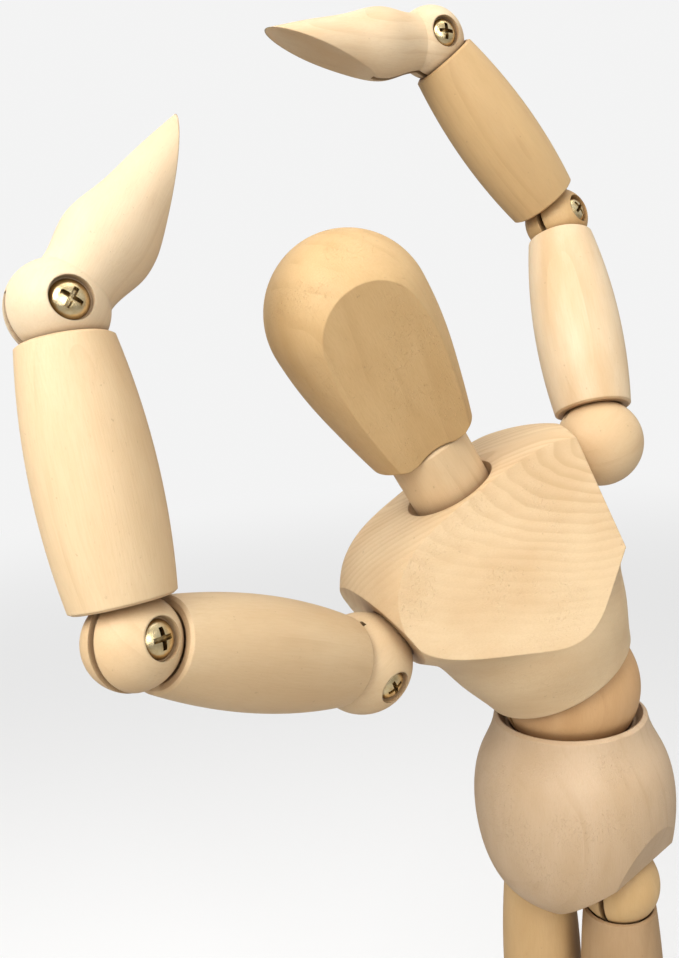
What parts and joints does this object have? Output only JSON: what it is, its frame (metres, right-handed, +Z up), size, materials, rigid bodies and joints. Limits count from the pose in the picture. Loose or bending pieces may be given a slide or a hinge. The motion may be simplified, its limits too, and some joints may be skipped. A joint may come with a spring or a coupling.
{
  "type": "artist mannequin",
  "caption": "Jointed wooden artist's drawing figure with ball joints at shoulders, elbows, wrists, waist and hips, arms raised, on a round base with a support rod.",
  "frame": {"origin": "centre of the base's underside", "axes": "+Z up, the pelvis faces -Y, +X is the figure's left side"},
  "size_m": [0.0846, 0.1302, 0.3115],
  "materials": {
    "pale_wood": "fine sanded, semi-matt",
    "amber_wood": "fine sanded, semi-matt",
    "base_wood": "fine sanded, semi-matt",
    "brass": "bright plated",
    "steel": "satin"
  },
  "bodies": {
    "base": {"base": "base_wood"},
    "rod": {"rod": "steel"},
    "pelvis": {"pelvis": "pale_wood"},
    "waist_ball": {"waist_ball": "amber_wood", "waist_pin": "steel"},
    "waist_link": {"waist_link": "steel"},
    "chest": {"chest": "pale_wood"},
    "neck_link": {"neck_link": "steel"},
    "neck": {"neck": "pale_wood", "neck_pin": "steel"},
    "head_link": {"head_link": "steel"},
    "head": {"head": "pale_wood"},
    "shoulder_ball_right": {"shoulder_ball_right": "pale_wood", "shoulder_screw_right": "brass"},
    "upper_arm_right_tongue": {"upper_arm_right_tongue": "steel"},
    "upper_arm_right": {"upper_arm_right": "pale_wood", "upper_arm_right_spring": "steel"},
    "elbow_ball_right": {"elbow_ball_right": "pale_wood", "elbow_screw_right": "brass"},
    "forearm_right_tongue": {"forearm_right_tongue": "steel"},
    "forearm_right": {"forearm_right": "pale_wood", "forearm_right_spring": "steel"},
    "hand_right": {"hand_right": "pale_wood", "wrist_screw_right": "brass"},
    "hip_ball_right": {"hip_ball_right": "pale_wood", "hip_screw_right": "brass"},
    "thigh_right_tongue": {"thigh_right_tongue": "steel"},
    "thigh_right": {"thigh_right": "pale_wood", "thigh_right_spring": "steel"},
    "knee_ball_right": {"knee_ball_right": "pale_wood", "knee_screw_right": "brass"},
    "shin_right_tongue": {"shin_right_tongue": "steel"},
    "shin_right": {"shin_right": "pale_wood", "shin_right_spring": "steel"},
    "foot_right": {"foot_right": "pale_wood", "ankle_screw_right": "brass"},
    "shoulder_ball_left": {"shoulder_ball_left": "pale_wood", "shoulder_screw_left": "brass"},
    "upper_arm_left_tongue": {"upper_arm_left_tongue": "steel"},
    "upper_arm_left": {"upper_arm_left": "pale_wood", "upper_arm_left_spring": "steel"},
    "elbow_ball_left": {"elbow_ball_left": "pale_wood", "elbow_screw_left": "brass"},
    "forearm_left_tongue": {"forearm_left_tongue": "steel"},
    "forearm_left": {"forearm_left": "pale_wood", "forearm_left_spring": "steel"},
    "hand_left": {"hand_left": "pale_wood", "wrist_screw_left": "brass"},
    "hip_ball_left": {"hip_ball_left": "pale_wood", "hip_screw_left": "brass"},
    "thigh_left_tongue": {"thigh_left_tongue": "steel"},
    "thigh_left": {"thigh_left": "pale_wood", "thigh_left_spring": "steel"},
    "knee_ball_left": {"knee_ball_left": "pale_wood", "knee_screw_left": "brass"},
    "shin_left_tongue": {"shin_left_tongue": "steel"},
    "shin_left": {"shin_left": "pale_wood", "shin_left_spring": "steel"},
    "foot_left": {"foot_left": "pale_wood", "ankle_screw_left": "brass"}
  },
  "joints": [
    {"name": "stand_turn", "type": "hinge", "parent": "base", "child": "rod", "pos_m": [0.00156, 0.00886, 0.012], "axis": [0, 0, 1], "continuous": true},
    {"name": "stand_lift", "type": "slide", "parent": "rod", "child": "pelvis", "axis": [0, 0, 1], "range_m": [0, 0.05]},
    {"name": "waist_turn", "type": "hinge", "parent": "pelvis", "child": "waist_ball", "pos_m": [0, 0, 0.1844], "axis": [0, 0, 1], "range_deg": [-75, 45]},
    {"name": "waist_lean", "type": "hinge", "parent": "waist_ball", "child": "waist_link", "pos_m": [0, 0, 0.1844], "axis": [0.7661, -0.6427, 0], "range_deg": [-45, 5]},
    {"name": "chest_turn", "type": "hinge", "parent": "waist_link", "child": "chest", "pos_m": [0, 0, 0.1844], "axis": [-0.2954, -0.3521, 0.8881], "range_deg": [-45, 45]},
    {"name": "neck_turn", "type": "hinge", "parent": "chest", "child": "neck_link", "pos_m": [-0.01418, -0.0206, 0.22917], "axis": [-0.2954, -0.3521, 0.8881], "range_deg": [-45, 45]},
    {"name": "neck_lean", "type": "hinge", "parent": "neck_link", "child": "neck", "pos_m": [-0.01418, -0.0206, 0.22917], "axis": [0.7652, 0.4694, 0.4406], "range_deg": [-25, 8]},
    {"name": "head_nod", "type": "hinge", "parent": "neck", "child": "head_link", "pos_m": [-0.01418, -0.0206, 0.22917], "axis": [0.7652, 0.4694, 0.4406], "range_deg": [-20, 8]},
    {"name": "head_turn", "type": "hinge", "parent": "head_link", "child": "head", "pos_m": [-0.01418, -0.0206, 0.22917], "axis": [-0.1991, -0.4782, 0.8554], "range_deg": [-75, 75]},
    {"name": "shoulder_swivel_right", "type": "hinge", "parent": "chest", "child": "shoulder_ball_right", "pos_m": [-0.02174, -0.03773, 0.19959], "axis": [0.3972, 0.8002, 0.4493], "range_deg": [-60, 60]},
    {"name": "shoulder_swing_right", "type": "hinge", "parent": "shoulder_ball_right", "child": "upper_arm_right_tongue", "pos_m": [-0.02174, -0.03773, 0.19959], "axis": [0.9053, -0.2613, -0.335], "range_deg": [-15, 75]},
    {"name": "upper_arm_turn_right", "type": "hinge", "parent": "upper_arm_right_tongue", "child": "upper_arm_right", "pos_m": [-0.02174, -0.03773, 0.19959], "axis": [-0.1257, -0.918, 0.3762], "range_deg": [-60, 60]},
    {"name": "elbow_upper_right", "type": "hinge", "parent": "upper_arm_right", "child": "elbow_ball_right", "pos_m": [-0.02771, -0.08134, 0.21747], "axis": [0.9792, -0.054, 0.1955], "range_deg": [0, 45]},
    {"name": "elbow_lower_right", "type": "hinge", "parent": "elbow_ball_right", "child": "forearm_right_tongue", "pos_m": [-0.02771, -0.08134, 0.21747], "axis": [0.9792, -0.054, 0.1955], "range_deg": [0, 45]},
    {"name": "forearm_turn_right", "type": "hinge", "parent": "forearm_right_tongue", "child": "forearm_right", "pos_m": [-0.02771, -0.08134, 0.21747], "axis": [-0.1923, 0.0588, 0.9796], "range_deg": [-60, 60]},
    {"name": "wrist_right", "type": "hinge", "parent": "forearm_right", "child": "hand_right", "pos_m": [-0.03582, -0.07885, 0.2588], "axis": [0.8959, -0.397, 0.1997], "range_deg": [-30, 45]},
    {"name": "hip_swivel_right", "type": "hinge", "parent": "pelvis", "child": "hip_ball_right", "pos_m": [-0.00877, 0.00154, 0.1464], "axis": [0, 0, 1], "range_deg": [-45, 5]},
    {"name": "hip_swing_right", "type": "hinge", "parent": "hip_ball_right", "child": "thigh_right_tongue", "pos_m": [-0.00877, 0.00154, 0.1464], "axis": [0.9848, -0.1736, 0], "range_deg": [-28, 3]},
    {"name": "thigh_turn_right", "type": "hinge", "parent": "thigh_right_tongue", "child": "thigh_right", "pos_m": [-0.00877, 0.00154, 0.1464], "axis": [0, 0, 1], "range_deg": [-45, 5]},
    {"name": "knee_upper_right", "type": "hinge", "parent": "thigh_right", "child": "knee_ball_right", "pos_m": [-0.00877, 0.00154, 0.0944], "axis": [0.9848, -0.1736, 0], "range_deg": [0, 35]},
    {"name": "knee_lower_right", "type": "hinge", "parent": "knee_ball_right", "child": "shin_right_tongue", "pos_m": [-0.00877, 0.00154, 0.0944], "axis": [0.9848, -0.1736, 0], "range_deg": [0, 35]},
    {"name": "shin_turn_right", "type": "hinge", "parent": "shin_right_tongue", "child": "shin_right", "pos_m": [-0.00877, 0.00154, 0.0944], "axis": [0, 0, 1], "range_deg": [-45, 5]},
    {"name": "ankle_right", "type": "hinge", "parent": "shin_right", "child": "foot_right", "pos_m": [-0.00877, 0.00154, 0.0444], "axis": [0.9848, -0.1736, 0], "range_deg": [-30, 30]},
    {"name": "shoulder_swivel_left", "type": "hinge", "parent": "chest", "child": "shoulder_ball_left", "pos_m": [0.00369, 0.01348, 0.22835], "axis": [0.3972, 0.8002, 0.4493], "range_deg": [-60, 60]},
    {"name": "shoulder_swing_left", "type": "hinge", "parent": "shoulder_ball_left", "child": "upper_arm_left_tongue", "pos_m": [0.00369, 0.01348, 0.22835], "axis": [-0.72, 0.5753, -0.388], "range_deg": [-15, 75]},
    {"name": "upper_arm_turn_left", "type": "hinge", "parent": "upper_arm_left_tongue", "child": "upper_arm_left", "pos_m": [0.00369, 0.01348, 0.22835], "axis": [-0.2445, 0.313, 0.9178], "range_deg": [-60, 60]},
    {"name": "elbow_upper_left", "type": "hinge", "parent": "upper_arm_left", "child": "elbow_ball_left", "pos_m": [-0.00793, 0.02835, 0.27194], "axis": [0.9254, -0.2075, 0.3173], "range_deg": [-45, 0]},
    {"name": "elbow_lower_left", "type": "hinge", "parent": "elbow_ball_left", "child": "forearm_left_tongue", "pos_m": [-0.00793, 0.02835, 0.27194], "axis": [0.9254, -0.2075, 0.3173], "range_deg": [-45, 0]},
    {"name": "forearm_turn_left", "type": "hinge", "parent": "forearm_left_tongue", "child": "forearm_left", "pos_m": [-0.00793, 0.02835, 0.27194], "axis": [-0.379, -0.4886, 0.7859], "range_deg": [-60, 60]},
    {"name": "wrist_left", "type": "hinge", "parent": "forearm_left", "child": "hand_left", "pos_m": [-0.02392, 0.00773, 0.30511], "axis": [0.8468, -0.5256, 0.0816], "range_deg": [-45, 18]},
    {"name": "hip_swivel_left", "type": "hinge", "parent": "pelvis", "child": "hip_ball_left", "pos_m": [0.00877, -0.00154, 0.1464], "axis": [0, 0, -1], "range_deg": [-45, 5]},
    {"name": "hip_swing_left", "type": "hinge", "parent": "hip_ball_left", "child": "thigh_left_tongue", "pos_m": [0.00877, -0.00154, 0.1464], "axis": [0.9848, -0.1736, 0], "range_deg": [-28, 3]},
    {"name": "thigh_turn_left", "type": "hinge", "parent": "thigh_left_tongue", "child": "thigh_left", "pos_m": [0.00877, -0.00154, 0.1464], "axis": [0, 0, -1], "range_deg": [-45, 5]},
    {"name": "knee_upper_left", "type": "hinge", "parent": "thigh_left", "child": "knee_ball_left", "pos_m": [0.00877, -0.00154, 0.0944], "axis": [0.9848, -0.1736, 0], "range_deg": [0, 35]},
    {"name": "knee_lower_left", "type": "hinge", "parent": "knee_ball_left", "child": "shin_left_tongue", "pos_m": [0.00877, -0.00154, 0.0944], "axis": [0.9848, -0.1736, 0], "range_deg": [0, 35]},
    {"name": "shin_turn_left", "type": "hinge", "parent": "shin_left_tongue", "child": "shin_left", "pos_m": [0.00877, -0.00154, 0.0944], "axis": [0, 0, -1], "range_deg": [-45, 5]},
    {"name": "ankle_left", "type": "hinge", "parent": "shin_left", "child": "foot_left", "pos_m": [0.00877, -0.00154, 0.0444], "axis": [0.9848, -0.1736, 0], "range_deg": [-30, 30]}
  ]
}
